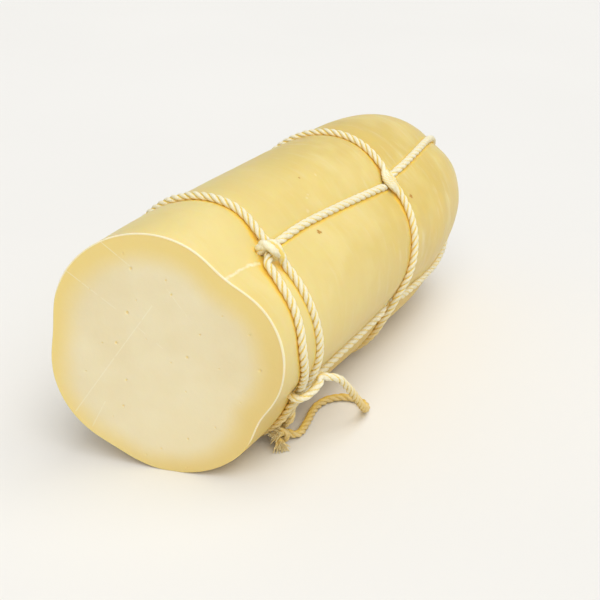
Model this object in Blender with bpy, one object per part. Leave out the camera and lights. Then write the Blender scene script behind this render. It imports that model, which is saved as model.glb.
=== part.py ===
# Half a log of provolone in its string net, cut straight across at the front.
# Metres, +Z up. The log lies along Y: the cut face looks towards -Y and the rounded end towards +Y.
# Along the log, s runs from the middle of the cut face to the rear pole. Round it, the angle
# is 0 at the top and 90 degrees on the +X side. The floor is at Z = 0.

import bpy
import bmesh
from math import ceil, cos, cosh, degrees, exp, pi, radians, sin
from mathutils import Vector

MM = 0.001

# The log
MEAN_RADIUS = 59 * MM
LENGTH = 290 * MM
AXIS_X = 0.6 * MM
AXIS_Z = 63.5 * MM
FACE_Y = -140.9 * MM
FACE_TILT_X = 0.244  # how far the cut runs back for each metre towards +X
FACE_TILT_Z = -0.054
ROUND_SHARE = 1.046  # the section between its grooves, against the mean radius
OFFSET = (0.015, 42)  # share of the mean radius, and the angle that it leans to
OVAL = (0.0645, 15)  # the same for the long axis of the oval
SWELL = (0.014, 12 * MM)  # how much the log swells behind the cut face, and over what length
TAPER = (0.056, 35 * MM, 206 * MM)  # how much it narrows, from where and to where
DOME_START = 198 * MM
DOME_POWERS = (2.3, 2.6)  # along the log and across it
PINCH = (0.014, 7 * MM)  # how deep and how wide a hoop draws the log in

# Each long cord: its angle, and the depth and half width of the fold that it draws
CORDS = {
    "a": {"angle": 35.4, "depth": 0.150, "width": 14.0, "jog": 7.6},
    "b": {"angle": 121.0, "depth": 0.095, "width": 12.3, "jog": -3.0},
    "c": {"angle": 207.0, "depth": 0.061, "width": 11.7, "jog": 2.5},
    "d": {"angle": 279.0, "depth": 0.082, "width": 16.0, "jog": -2.5},
}
JOG_START = 74 * MM
JOG_LENGTH = 90 * MM
JOG_POWER = 1.25
JOG_BACK = ((0.46, 164 * MM, 10 * MM), (1.2, 172 * MM, 110 * MM))  # share of the jog, start, over
FADE = (0.3, 150 * MM, 60 * MM)  # how much shallower the folds are at the rear, from where, over what length

# The string
ROPE_RADIUS = 2.1 * MM
GAP = 0.3 * MM
OFF_FLOOR = 0.03 * MM
LIFT = 1.0 * MM  # height of a cord's middle above the rind beside it
FRAY_FLARE = 1.35  # how much thicker a cord is at its frayed end
BEHIND = 2 * ROPE_RADIUS + GAP + 0.1 * MM  # spacing of two cords that touch
INNER_AT_POLE = -1.6 * MM  # heights of the two strings where they cross at the rear
OUTER_AT_POLE = 3.5 * MM
POLE_REACH = 10 * MM  # how far from the pole they start to change height
DIVE = 7 * MM  # how far from hoop 2 a long cord starts to dive under it
HOOP_BRIDGE = 0.2  # share of a fold's depth that a tight hoop spans
HUMP = (1.0 * MM, 7)  # how much a hoop rises over a long cord, and over how many degrees
HOOP_1 = {"s": 46 * MM, "tilt_x": 0.0, "tilt_z": 0.0}
HOOP_2 = {"s": 159 * MM, "tilt_x": 2.2 * MM, "tilt_z": 12.1 * MM}
# Knot A pulls hoop 1 forward, a little more after each of these angles, and then it comes back:
# how far, from what angle and over how many degrees
PULLS = ((-3.6 * MM, 12, 24), (-11 * MM, 34, 9.5), (-2 * MM, 43, 13))
PULL_BACK = (80, 45)
# The tail of hitch A beside hoop 1: where it starts, and how far it moves back from what angle on
TAIL_A = {"s": 41.4 * MM, "shift": 9.7 * MM, "from": 56, "over": 60, "angles": (50, 138)}

# A half hitch round hoop 1, in mm: along the log and round it from the crossing, and outwards
HITCH_A = [
    (14, 0, -2.8), (9, 0, -3.3), (4, 0, -4.2), (0, 0, -4.9), (-4.4, 0.0, -4.9), (-7.7, -0.8, -3.7),
    (-9.2, -1.4, -0.9), (-9.6, -0.9, 2.0), (-9.3, 0.8, 4.1), (-8.5, 2.8, 4.7), (-7.3, 5.0, 4.3),
    (-6.0, 7.6, 2.9), (-5.0, 10.4, 0.8),
]
HITCH_B = [
    (17, 0, -3.4), (12, 0, -4.8), (7, 0, -5.5), (0, 0, -5.1), (-4.0, -0.6, -3.6), (-6.3, -2.2, -0.2),
    (-5.4, -4.2, 3.3), (-1.6, -5.8, 4.8), (2.6, -7.0, 5.2), (6.6, -8.4, 5.0), (10, -10, 3.8),
]
HITCH_C = [
    (14, 0, -2.8), (9, 0, -3.9), (4.5, 0, -4.8), (0, 0, -4.9), (-4.0, 0.6, -3.6), (-6.3, 2.2, -0.2),
    (-5.8, 4.2, 3.2), (-2.6, 6.2, 4.8), (1.6, 8.0, 4.9), (4.9, 10.2, 2.8), (5.2, 13.5, 0.6),
    (4.9, 18, 0), (5.1, 30, 0.2),
]
HITCH_D = [(along, -around, outward) for along, around, outward in HITCH_C]

# Free ends, in mm: x from the log's axis, s, and height above the floor
TAIL_A_DROP = [(40.4, 52.2, 16.4), (38.2, 52.8, 13.2), (36.4, 53.6, 10.8)]
COIL = {"start": (34.4, 54.2, 5.6), "radius": 3.6, "pitch": 3.9, "turns": 0.75}
KNOT_STUB = [(38.0, 50.4, 7.6), (37.4, 48.9, 8.9), (36.7, 47.2, 9.4)]
LOOSE_TAIL = [
    (60.2, 64, 38.5), (61.6, 71, 31.5), (62.4, 79, 22), (62.4, 87, 12.5), (61.3, 95, 5.2),
    (58, 102.5, 2.5), (51.5, 106.5, 2.2), (44, 105.5, 2.2), (37.8, 100, 2.2), (35.2, 92, 2.2),
    (35.8, 84, 2.2), (37.8, 76, 2.2), (39.4, 68, 2.2), (40.2, 62.4, 2.2), (39.4, 58.4, 2.8),
    (37.0, 56.4, 4.1), (35.0, 54.6, 5.3), (34.4, 52.2, 5.6), (34.7, 49.7, 5.0), (35.7, 47.8, 4.1),
    (37.2, 46.4, 3.4),
]
TIGHT = (0.3, 7 * MM)  # how much thinner the string is drawn in the end knot, and how far that reaches

CHEESE_COLUMNS = 60
RING_STEP = 14 * MM
DOME_RINGS = 8
SAMPLE = 1.5 * MM
HOOP_STEP = radians(12.5)
MOST_TURN = radians(18)
MOST_STEP = 18 * MM
FREE_STEP = 11 * MM  # the free tail bends, so its points are closer


def ease(x):
    x = min(max(x, 0.0), 1.0)
    return x * x * (3 - 2 * x)


def wrapped(angle):
    return (angle + pi) % (2 * pi) - pi


def fold_angle(cord, s):
    """Angle of a long cord's fold: it drifts between the hoops and comes back behind hoop 2."""
    out = min(max((s - JOG_START) / JOG_LENGTH, 0.0), 1.0) ** JOG_POWER
    back = sum(share * ease((s - start) / over) for share, start, over in JOG_BACK)
    return radians(cord["angle"] + cord["jog"] * (out - back))


def section(angle, s, bridged=0.0):
    share = ROUND_SHARE
    share += OFFSET[0] * cos(angle - radians(OFFSET[1]))
    share += OVAL[0] * cos(2 * (angle - radians(OVAL[1])))
    faded = 1 - FADE[0] * ease((s - FADE[1]) / FADE[2])
    for cord in CORDS.values():
        away = wrapped(angle - fold_angle(cord, s)) / radians(cord["width"])
        share -= cord["depth"] * faded * (1 - bridged) / cosh(away)
    return share


def pulled(angle):
    """How far hoop 1 stands forward of its plane beside knot A."""
    turn = degrees(angle) % 360
    forward = sum(most * ease((turn - start) / over) for most, start, over in PULLS)
    return forward * (1 - ease((turn - PULL_BACK[0]) / PULL_BACK[1]))


def hoop_s(hoop, angle):
    s = hoop["s"] + hoop["tilt_x"] * sin(angle) + hoop["tilt_z"] * cos(angle)
    if hoop is HOOP_1:
        s += pulled(angle)
    return s


def body(angle, s):
    """The log's girth along its length, before the dome. It lies on a belly that doesn't taper."""
    swell = SWELL[0] * (1 - exp(-max(s, 0) / SWELL[1]))
    part = min(max((s - TAPER[1]) / (TAPER[2] - TAPER[1]), 0.0), 1.3)
    belly = max(-cos(angle), 0.0) ** 2
    share = 1.0 + swell - TAPER[0] * part * part * (1 - belly)
    for hoop in (HOOP_1, HOOP_2):
        share -= PINCH[0] * exp(-(((s - hoop_s(hoop, angle)) / PINCH[1]) ** 2))
    return share


def dome(s):
    far = min(max((s - DOME_START) / (LENGTH - DOME_START), 0.0), 1.0)
    return (1 - far ** DOME_POWERS[0]) ** (1 / DOME_POWERS[1])


def rind_radius(angle, s, bridged=0.0):
    return MEAN_RADIUS * section(angle, s, bridged) * body(angle, s) * dome(s)


def place(angle, s, radius):
    """The point at this angle and distance from the log's axis."""
    return Vector((AXIS_X + radius * sin(angle), FACE_Y + s, AXIS_Z + radius * cos(angle)))


def from_mm(x, s, z):
    return Vector((AXIS_X + x * MM, FACE_Y + s * MM, z * MM))


def dome_s(lean):
    """Distance along the log where the dome's meridian has turned by this much of a right angle."""
    return DOME_START + (LENGTH - DOME_START) * sin(lean) ** (2 / DOME_POWERS[0])


def over_rind(angle, s, lift):
    """A point above the rind, lifted along the meridian's own normal."""
    step = 0.5 * MM
    ahead, behind = min(s + step, LENGTH), max(s - step, 0)
    rise = rind_radius(angle, ahead) - rind_radius(angle, behind)
    across = Vector((sin(angle), 0, cos(angle)))
    normal = (across * (ahead - behind) - Vector((0, 1, 0)) * rise).normalized()
    return place(angle, s, rind_radius(angle, s)) + normal * lift


# The cheese

def cut_s(angle):
    """Where the slanting cut meets the rind."""
    radius = rind_radius(angle, 0)
    return radius * (FACE_TILT_X * sin(angle) + FACE_TILT_Z * cos(angle))


def ring_places():
    straight = int(DOME_START / RING_STEP)
    along = [DOME_START * i / straight for i in range(straight + 1)]
    along += [dome_s(radians(90 * i / DOME_RINGS)) for i in range(1, DOME_RINGS)]
    return along


def make_cheese():
    """Rings lofted from the slanting cut to the pole, with the belly flat where it lies."""
    mesh = bmesh.new()
    square_from = 4 * RING_STEP
    rings = []
    for base in ring_places():
        ring = []
        for column in range(CHEESE_COLUMNS):
            angle = 2 * pi * column / CHEESE_COLUMNS
            s = base + cut_s(angle) * (1 - ease(base / square_from))
            point = place(angle, s, rind_radius(angle, s))
            point.z = max(point.z, 0)
            ring.append(mesh.verts.new(point))
        rings.append(ring)
    for near, far in zip(rings, rings[1:]):
        for i in range(CHEESE_COLUMNS):
            k = (i + 1) % CHEESE_COLUMNS
            mesh.faces.new((near[i], near[k], far[k], far[i]))
    mesh.faces.new(list(reversed(rings[0])))
    pole = mesh.verts.new((AXIS_X, FACE_Y + LENGTH, AXIS_Z))
    for i in range(CHEESE_COLUMNS):
        mesh.faces.new((rings[-1][i], rings[-1][(i + 1) % CHEESE_COLUMNS], pole))
    bmesh.ops.recalc_face_normals(mesh, faces=mesh.faces)
    bmesh.ops.triangulate(mesh, faces=mesh.faces)
    data = bpy.data.meshes.new("cheese")
    mesh.to_mesh(data)
    mesh.free()
    return bpy.data.objects.new("cheese", data)


# Routes of the cords

def smooth(points):
    """A Catmull-Rom curve through the points, read every SAMPLE."""
    ends = [points[0] * 2 - points[1]] + points + [points[-1] * 2 - points[-2]]
    found = []
    for p0, p1, p2, p3 in zip(ends, ends[1:], ends[2:], ends[3:]):
        count = max(int((p2 - p1).length / SAMPLE), 1)
        for i in range(count):
            t = i / count
            found.append(
                0.5 * (2 * p1 + (p2 - p0) * t + (2 * p0 - 5 * p1 + 4 * p2 - p3) * t**2
                       + (3 * p1 - p0 - 3 * p2 + p3) * t**3)
            )
    return found + [points[-1]]


def thin(points, most_step=MOST_STEP):
    """Keeps a point where the route has turned by MOST_TURN or run on by most_step."""
    kept = [points[0]]
    heading = (points[1] - points[0]).normalized()
    for point, after in zip(points[1:], points[2:]):
        ahead = (after - point).normalized()
        if ahead.angle(heading) > MOST_TURN or (after - kept[-1]).length > most_step:
            kept.append(point)
            heading = ahead
    return kept + [points[-1]]


def hoop_radius(hoop, angle):
    s = hoop_s(hoop, angle)
    radius = rind_radius(angle, s, HOOP_BRIDGE) + LIFT
    for cord in CORDS.values():
        away = wrapped(angle - fold_angle(cord, s)) / radians(HUMP[1])
        radius += HUMP[0] * exp(-away * away)
    lowest = AXIS_Z - ROPE_RADIUS - OFF_FLOOR
    if cos(angle) < 0:
        radius = min(radius, lowest / -cos(angle))
    return radius


def hoop_route(hoop):
    """Round the log, with a point on each long cord that the hoop crosses and even steps between."""
    crossed = sorted(fold_angle(cord, hoop_s(hoop, radians(cord["angle"]))) for cord in CORDS.values())
    angles = []
    for here, following in zip(crossed, crossed[1:] + [crossed[0] + 2 * pi]):
        steps = ceil((following - here) / HOOP_STEP)
        angles += [here + (following - here) * i / steps for i in range(steps)]
    return [place(angle, hoop_s(hoop, angle), hoop_radius(hoop, angle)) for angle in angles]


def beside_hoop_1(cord, steps):
    """Points of a hitch, given in mm from where this long cord crosses hoop 1."""
    points = []
    for along, around, outward in steps:
        angle = radians(cord["angle"]) + around * MM / MEAN_RADIUS
        radius = hoop_radius(HOOP_1, angle) + outward * MM
        points.append(place(angle, HOOP_1["s"] + along * MM, radius))
    return points


def groove_route(cord, first_s):
    """Along one fold from near hoop 1 to the dome's edge, sinking under hoop 2."""
    points = []
    steps = int((DOME_START - first_s) / (4 * MM))
    for i in range(steps + 1):
        s = first_s + (DOME_START - first_s) * i / steps
        angle = fold_angle(cord, s)
        free = rind_radius(angle, s) + LIFT
        under = hoop_radius(HOOP_2, angle) - BEHIND - 2 * GAP
        near = exp(-(((s - hoop_s(HOOP_2, angle)) / DIVE) ** 2))
        points.append(place(angle, s, free + (min(under, free) - free) * near))
    return points


def dome_route(cord, pole_lift):
    """Up the dome along one fold, short of the pole."""
    points = []
    for turn in range(10, 81, 10):
        s = dome_s(radians(turn))
        angle = fold_angle(cord, s)
        near = exp(-((rind_radius(angle, s) / POLE_REACH) ** 2))
        points.append(over_rind(angle, s, LIFT + (pole_lift - LIFT) * near))
    return points


def string_route(first, first_hitch, second, second_hitch, pole_lift):
    """One string: a hitch, up its fold, over the pole, and down the other fold to its hitch."""
    up = beside_hoop_1(first, first_hitch)[::-1]
    up += groove_route(first, HOOP_1["s"] + (first_hitch[0][0] + 6) * MM)
    up += dome_route(first, pole_lift)
    down = beside_hoop_1(second, second_hitch)[::-1]
    down += groove_route(second, HOOP_1["s"] + (second_hitch[0][0] + 6) * MM)
    down += dome_route(second, pole_lift)
    pole = Vector((AXIS_X, FACE_Y + LENGTH + pole_lift, AXIS_Z))
    return up + [pole] + down[::-1]


def tail_a_route():
    """From hitch A down the side, close behind hoop 1, and off the underside to the end knot."""
    points = []
    for turn in range(*TAIL_A["angles"], 4):
        angle = radians(turn)
        s = TAIL_A["s"] + TAIL_A["shift"] * ease((turn - TAIL_A["from"]) / TAIL_A["over"])
        points.append(place(angle, s, hoop_radius(HOOP_1, angle)))
    return points + [from_mm(*p) for p in TAIL_A_DROP]


def carry_on(last_two, points):
    """The points, led by the start of a cord that goes on, end to end, from another one's last two."""
    before, end = last_two
    away = (end - before).normalized()
    return [end + away * GAP, end + away * (GAP + SAMPLE)] + points


def end_knot_route():
    """The end of tail A wound round the loose tail, closing forward, and its stub."""
    x, s, z = COIL["start"]
    steps = int(COIL["turns"] * 12)
    points = []
    for i in range(steps + 1):
        turn = 2 * pi * COIL["turns"] * i / steps
        across, up = -COIL["radius"] * sin(turn), COIL["radius"] * cos(turn)
        points.append(from_mm(x + across, s - COIL["pitch"] * turn / (2 * pi), z + up))
    points += [from_mm(*p) for p in KNOT_STUB]
    return carry_on([from_mm(*p) for p in TAIL_A_DROP[-2:]], points)


# Objects

def material(name, colour, roughness):
    made = bpy.data.materials.new(name)
    made.use_nodes = True
    shader = made.node_tree.nodes["Principled BSDF"]
    shader.inputs["Base Color"].default_value = (*colour, 1)
    shader.inputs["Roughness"].default_value = roughness
    shader.inputs["Metallic"].default_value = 0
    return made


def drawn_in(point):
    """Share of its thickness that the string keeps here: the end knot is pulled tight."""
    x, s, z = COIL["start"]
    knot = from_mm(x, s - COIL["pitch"] * COIL["turns"] / 2, z)
    return 1 - TIGHT[0] * exp(-(((point - knot).length / TIGHT[1]) ** 2))


def tube(name, points, radius, closed=False, flares=()):
    """A round cord along the points. flares names the ends, 0 or -1, that are frayed."""
    data = bpy.data.curves.new(name, "CURVE")
    data.dimensions = "3D"
    data.bevel_depth = radius
    data.bevel_resolution = 2
    data.use_fill_caps = True
    spline = data.splines.new("POLY")
    spline.points.add(len(points) - 1)
    for target, point in zip(spline.points, points):
        target.co = (*point, 1)
        target.radius = drawn_in(point)
    spline.use_cyclic_u = closed
    for end in flares:
        spline.points[end].radius = FRAY_FLARE
    return bpy.data.objects.new(name, data)


def as_mesh(thing):
    """A welded mesh copy of a cord, for cutting with."""
    graph = bpy.context.evaluated_depsgraph_get()
    data = bpy.data.meshes.new_from_object(thing.evaluated_get(graph))
    mesh = bmesh.new()
    mesh.from_mesh(data)
    bmesh.ops.remove_doubles(mesh, verts=mesh.verts, dist=1e-6)
    bmesh.ops.recalc_face_normals(mesh, faces=mesh.faces)
    mesh.to_mesh(data)
    mesh.free()
    return data


def cut_with_cord(cheese, name, points, closed, flares, cutters):
    """Presses a cord's groove into the cheese, a gap wider than the cord."""
    if not closed:
        points = (
            [points[0] + (points[0] - points[1]).normalized() * GAP]
            + points[1:-1]
            + [points[-1] + (points[-1] - points[-2]).normalized() * GAP]
        )
    guide = tube(name + "_guide", points, ROPE_RADIUS + GAP, closed, flares)
    bpy.context.scene.collection.objects.link(guide)
    cutter = bpy.data.objects.new(name + "_groove", as_mesh(guide))
    bpy.data.objects.remove(guide)
    cutters.objects.link(cutter)
    cutter.hide_render = True
    cutter.display_type = "WIRE"
    cut = cheese.modifiers.new(name + "_groove", "BOOLEAN")
    cut.operation = "DIFFERENCE"
    cut.solver = "EXACT"
    cut.object = cutter


def main():
    for thing in list(bpy.data.objects):
        bpy.data.objects.remove(thing)
    parts = bpy.data.collections.new("provolone")
    cutters = bpy.data.collections.new("cutters")
    for group in (parts, cutters):
        bpy.context.scene.collection.children.link(group)

    cheese = make_cheese()
    cheese.data.materials.append(material("rind", (0.86, 0.69, 0.28), 0.42))
    cheese.data.shade_smooth()
    parts.objects.link(cheese)

    string = material("string", (0.92, 0.86, 0.66), 0.85)
    tail_a = tail_a_route()
    hitch_b = beside_hoop_1(CORDS["b"], HITCH_B)
    upper = string_route(CORDS["a"], HITCH_A, CORDS["c"], HITCH_C, INNER_AT_POLE)
    lower = string_route(CORDS["b"], HITCH_B, CORDS["d"], HITCH_D, OUTER_AT_POLE)
    loose = carry_on(hitch_b[-2:], [from_mm(*p) for p in LOOSE_TAIL])
    routes = {
        "hoop_1": (hoop_route(HOOP_1), True, ()),
        "hoop_2": (hoop_route(HOOP_2), True, ()),
        "long_cord_ac": (thin(smooth(tail_a[::-1] + upper)), False, (-1,)),
        "long_cord_bd": (thin(smooth(lower)), False, (-1,)),
        "loose_tail": (thin(smooth(loose), most_step=FREE_STEP), False, (-1,)),
        "end_knot": (thin(smooth(end_knot_route())), False, (-1,)),
    }
    for name, (points, closed, flares) in routes.items():
        cord = tube(name, points, ROPE_RADIUS, closed, flares)
        cord.data.materials.append(string)
        parts.objects.link(cord)
        if name not in ("loose_tail", "end_knot"):
            cut_with_cord(cheese, name, points, closed, flares, cutters)


main()
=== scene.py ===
import bmesh
import bpy
import numpy as np
from math import cos, pi, radians, sin
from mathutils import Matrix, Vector
from mathutils.kdtree import KDTree


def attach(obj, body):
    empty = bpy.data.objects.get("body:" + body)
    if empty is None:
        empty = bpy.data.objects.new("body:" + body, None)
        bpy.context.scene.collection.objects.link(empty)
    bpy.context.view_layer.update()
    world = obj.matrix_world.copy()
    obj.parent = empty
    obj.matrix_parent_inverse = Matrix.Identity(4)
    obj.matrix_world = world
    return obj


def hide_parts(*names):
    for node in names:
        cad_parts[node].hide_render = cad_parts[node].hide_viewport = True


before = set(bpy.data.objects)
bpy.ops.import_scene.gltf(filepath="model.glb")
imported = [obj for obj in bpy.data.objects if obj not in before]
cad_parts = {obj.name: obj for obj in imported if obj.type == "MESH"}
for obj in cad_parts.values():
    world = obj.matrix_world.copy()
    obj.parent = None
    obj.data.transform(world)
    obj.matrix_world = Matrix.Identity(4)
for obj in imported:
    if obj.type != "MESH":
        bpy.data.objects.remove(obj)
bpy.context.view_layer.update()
mm = 0.001
rng = np.random.default_rng(7)
print("frame loaded:", ", ".join(sorted(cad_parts)))

# The form of the log: the same values as in the solid
log = {
    "meanRadius": 59 * mm, "length": 290 * mm, "axisX": 0.6 * mm, "axisZ": 63.5 * mm,
    "faceY": -140.9 * mm, "slantX": 0.244, "slantZ": -0.054, "roundShare": 1.046,
    "lean": (0.015, 42), "oval": (0.0645, 15), "swell": (0.014, 12 * mm),
    "taper": (0.056, 35 * mm, 206 * mm), "domeFrom": 198 * mm, "domePowers": (2.3, 2.6),
    "pinch": (0.014, 7 * mm), "squareFrom": 56 * mm,
}
centre = np.array([log["axisX"], log["faceY"], log["axisZ"]])
folds = {
    "a": {"angle": 35.4, "depth": 0.150, "width": 14.0, "drift": 7.6},
    "b": {"angle": 121.0, "depth": 0.095, "width": 12.3, "drift": -3.0},
    "c": {"angle": 207.0, "depth": 0.061, "width": 11.7, "drift": 2.5},
    "d": {"angle": 279.0, "depth": 0.082, "width": 16.0, "drift": -2.5},
}
drift = {"from": 74 * mm, "over": 90 * mm, "power": 1.25,
         "back": ((0.46, 164 * mm, 10 * mm), (1.2, 172 * mm, 110 * mm))}
fade = {"by": 0.3, "from": 150 * mm, "over": 60 * mm}
frontHoop = {"s": 46 * mm, "tiltX": 0.0, "tiltZ": 0.0,
             "pulls": ((-3.6 * mm, 12, 24), (-11 * mm, 34, 9.5), (-2 * mm, 43, 13)), "pullBack": (80, 45)}
rearHoop = {"s": 159 * mm, "tiltX": 2.2 * mm, "tiltZ": 12.1 * mm, "pulls": (), "pullBack": (80, 45)}


def lengths(vectors):
    return np.linalg.norm(vectors, axis=-1)


def ease(x):
    x = np.clip(x, 0.0, 1.0)
    return x * x * (3 - 2 * x)


def bell(x):
    return np.exp(-(x**2))


def keepAbove(points, least=0):
    points[..., 2] = np.maximum(points[..., 2], least)


def wrapped(angle):
    return (angle + pi) % (2 * pi) - pi


def foldAngle(fold, s):
    out = np.clip((s - drift["from"]) / drift["over"], 0, 1) ** drift["power"]
    back = sum(share * ease((s - start) / over) for share, start, over in drift["back"])
    return np.radians(fold["angle"] + fold["drift"] * (out - back))


def section(angle, s, bridged=0.0):
    share = log["roundShare"] + log["lean"][0] * np.cos(angle - radians(log["lean"][1]))
    share = share + log["oval"][0] * np.cos(2 * (angle - radians(log["oval"][1])))
    faded = 1 - fade["by"] * ease((s - fade["from"]) / fade["over"])
    for fold in folds.values():
        away = wrapped(angle - foldAngle(fold, s)) / radians(fold["width"])
        share = share - fold["depth"] * faded * (1 - bridged) / np.cosh(away)
    return share


def hoopS(hoop, angle):
    # where the hoop runs; the front one is drawn forward by its knot
    turn = np.degrees(angle) % 360
    pull = sum(most * ease((turn - start) / over) for most, start, over in hoop["pulls"])
    pull = pull * (1 - ease((turn - hoop["pullBack"][0]) / hoop["pullBack"][1]))
    return hoop["s"] + hoop["tiltX"] * np.sin(angle) + hoop["tiltZ"] * np.cos(angle) + pull


def girth(angle, s):
    swell = log["swell"][0] * (1 - np.exp(-np.maximum(s, 0) / log["swell"][1]))
    part = np.clip((s - log["taper"][1]) / (log["taper"][2] - log["taper"][1]), 0, 1.3)
    belly = np.maximum(-np.cos(angle), 0) ** 2
    share = 1 + swell - log["taper"][0] * part * part * (1 - belly)
    for hoop in (frontHoop, rearHoop):
        share = share - log["pinch"][0] * bell((s - hoopS(hoop, angle)) / log["pinch"][1])
    return share


def rindRadius(angle, s, bridged=0.0):
    far = np.clip((s - log["domeFrom"]) / (log["length"] - log["domeFrom"]), 0, 1)
    dome = (1 - far ** log["domePowers"][0]) ** (1 / log["domePowers"][1])
    return log["meanRadius"] * section(angle, s, bridged) * girth(angle, s) * dome


def placeAt(angle, s, radius):
    return centre + np.stack([radius * np.sin(angle), s + 0 * angle, radius * np.cos(angle)], axis=-1)


def cutS(angle):
    return rindRadius(angle, 0 * angle) * (log["slantX"] * np.sin(angle) + log["slantZ"] * np.cos(angle))


def domeS(lean):
    return log["domeFrom"] + (log["length"] - log["domeFrom"]) * np.sin(lean) ** (2 / log["domePowers"][0])


def newObject(name, data):
    made = bpy.data.objects.new(name, data)
    bpy.context.scene.collection.objects.link(made)
    return made


def meshObject(name, mesh):
    data = bpy.data.meshes.new(name)
    mesh.to_mesh(data)
    mesh.free()
    return newObject(name, data)


camera = {"across": 287.27 * mm, "back": 387.51 * mm, "above": 255.53 * mm, "down": 25.2, "turn": 28.8,
          "lens": 69.71}


def makeCamera():
    data = bpy.data.cameras.new("studioCamera")
    data.lens = camera["lens"]
    data.sensor_width = 36
    thing = newObject("studioCamera", data)
    thing.location = centre + (camera["across"], -camera["back"], camera["above"])
    thing.rotation_euler = (radians(90 - camera["down"]), 0, radians(camera["turn"]))
    bpy.context.scene.camera = thing


makeCamera()
print("camera placed")

# String: the routes, as the solids have them. A hitch is in mm along the log, round it and outwards,
# from where its long string crosses the front hoop.
string = {"radius": 2.1 * mm, "lift": 1.0 * mm, "gap": 0.3 * mm, "offFloor": 0.03 * mm, "bridge": 0.2,
          "hump": (1.0 * mm, 7), "innerPole": -1.6 * mm, "outerPole": 3.5 * mm, "sample": 0.5 * mm,
          "underHoop": 0.7 * mm, "sinkOver": 7 * mm, "riseOver": 10 * mm}
hitchA = [
    (14, 0, -2.8), (9, 0, -3.3), (4, 0, -4.2), (0, 0, -4.9), (-4.4, 0.0, -4.9), (-7.7, -0.8, -3.7),
    (-9.2, -1.4, -0.9), (-9.6, -0.9, 2.0), (-9.3, 0.8, 4.1), (-8.5, 2.8, 4.7), (-7.3, 5.0, 4.3),
    (-6.0, 7.6, 2.9), (-5.0, 10.4, 0.8),
]
hitchB = [
    (17, 0, -3.4), (12, 0, -4.8), (7, 0, -5.5), (0, 0, -5.1), (-4.0, -0.6, -3.6), (-6.3, -2.2, -0.2),
    (-5.4, -4.2, 3.3), (-1.6, -5.8, 4.8), (2.6, -7.0, 5.2), (6.6, -8.4, 5.0), (10, -10, 3.8),
]
hitchC = [
    (14, 0, -2.8), (9, 0, -3.9), (4.5, 0, -4.8), (0, 0, -4.9), (-4.0, 0.6, -3.6), (-6.3, 2.2, -0.2),
    (-5.8, 4.2, 3.2), (-2.6, 6.2, 4.8), (1.6, 8.0, 4.9), (4.9, 10.2, 2.8), (5.2, 13.5, 0.6),
    (4.9, 18, 0), (5.1, 30, 0.2),
]
hitchD = [(along, -beside, outward) for along, beside, outward in hitchC]
tailA = {"s": 41.4 * mm, "shift": 9.7 * mm, "from": 56, "over": 60, "angles": (50, 138, 4)}
# free ends, in mm: x from the log's axis, s, and height above the floor
tailDrop = [(40.4, 52.2, 16.4), (38.2, 52.8, 13.2), (36.4, 53.6, 10.8)]
knotTurn = {"start": (34.4, 54.2, 5.6), "radius": 3.6, "pitch": 3.9, "turns": 0.75}
knotStub = [(38.0, 50.4, 7.6), (37.4, 48.9, 8.9), (36.7, 47.2, 9.4)]
freeTail = [
    (60.2, 64, 38.5), (61.6, 71, 31.5), (62.4, 79, 22), (62.4, 87, 12.5), (61.3, 95, 5.2),
    (58, 102.5, 2.5), (51.5, 106.5, 2.2), (44, 105.5, 2.2), (37.8, 100, 2.2), (35.2, 92, 2.2),
    (35.8, 84, 2.2), (37.8, 76, 2.2), (39.4, 68, 2.2), (40.2, 62.4, 2.2), (39.4, 58.4, 2.8),
    (37.0, 56.4, 4.1), (35.0, 54.6, 5.3), (34.4, 52.2, 5.6), (34.7, 49.7, 5.0), (35.7, 47.8, 4.1),
    (37.2, 46.4, 3.4),
]


def hoopRadius(hoop, angle):
    s = hoopS(hoop, angle)
    radius = rindRadius(angle, s, string["bridge"]) + string["lift"]
    for fold in folds.values():
        radius += string["hump"][0] * bell(wrapped(angle - foldAngle(fold, s)) / radians(string["hump"][1]))
    lowest = log["axisZ"] - string["radius"] - string["offFloor"]
    under = np.minimum(np.cos(angle), -1e-6)
    return np.where(np.cos(angle) < 0, np.minimum(radius, lowest / -under), radius)


def onHoop(hoop, angle):
    return placeAt(angle, hoopS(hoop, angle), hoopRadius(hoop, angle))


def fromMm(x, s, z):
    return np.array([log["axisX"] + x * mm, log["faceY"] + s * mm, z * mm])


def hitchRoute(fold, steps):
    points = []
    for along, beside, outward in steps:
        angle = radians(fold["angle"]) + beside * mm / log["meanRadius"]
        radius = hoopRadius(frontHoop, angle) + outward * mm
        points.append(placeAt(angle, frontHoop["s"] + along * mm, radius))
    return points


def grooveRoute(fold, firstS):
    # along one fold to the dome's edge, sinking under the rear hoop
    points = []
    steps = int((log["domeFrom"] - firstS) / (4 * mm))
    for i in range(steps + 1):
        s = firstS + (log["domeFrom"] - firstS) * i / steps
        angle = foldAngle(fold, s)
        free = rindRadius(angle, s) + string["lift"]
        under = hoopRadius(rearHoop, angle) - 2 * string["radius"] - string["gap"] - string["underHoop"]
        near = bell((s - hoopS(rearHoop, angle)) / string["sinkOver"])
        points.append(placeAt(angle, s, free + (min(under, free) - free) * near))
    return points


def domeRoute(fold, poleLift):
    # up the dome, lifted along the meridian's own normal
    points, step = [], 0.5 * mm
    for turn in range(10, 81, 10):
        s = domeS(radians(turn))
        angle = foldAngle(fold, s)
        across = np.array([sin(angle), 0, cos(angle)])
        near = bell(rindRadius(angle, s) / string["riseOver"])
        ahead, behind = min(s + step, log["length"]), s - step
        rise = rindRadius(angle, ahead) - rindRadius(angle, behind)
        normal = across * (ahead - behind) - np.array([0, 1, 0]) * rise
        lift = string["lift"] + (poleLift - string["lift"]) * near
        points.append(placeAt(angle, s, rindRadius(angle, s)) + normal / lengths(normal) * lift)
    return points


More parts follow.
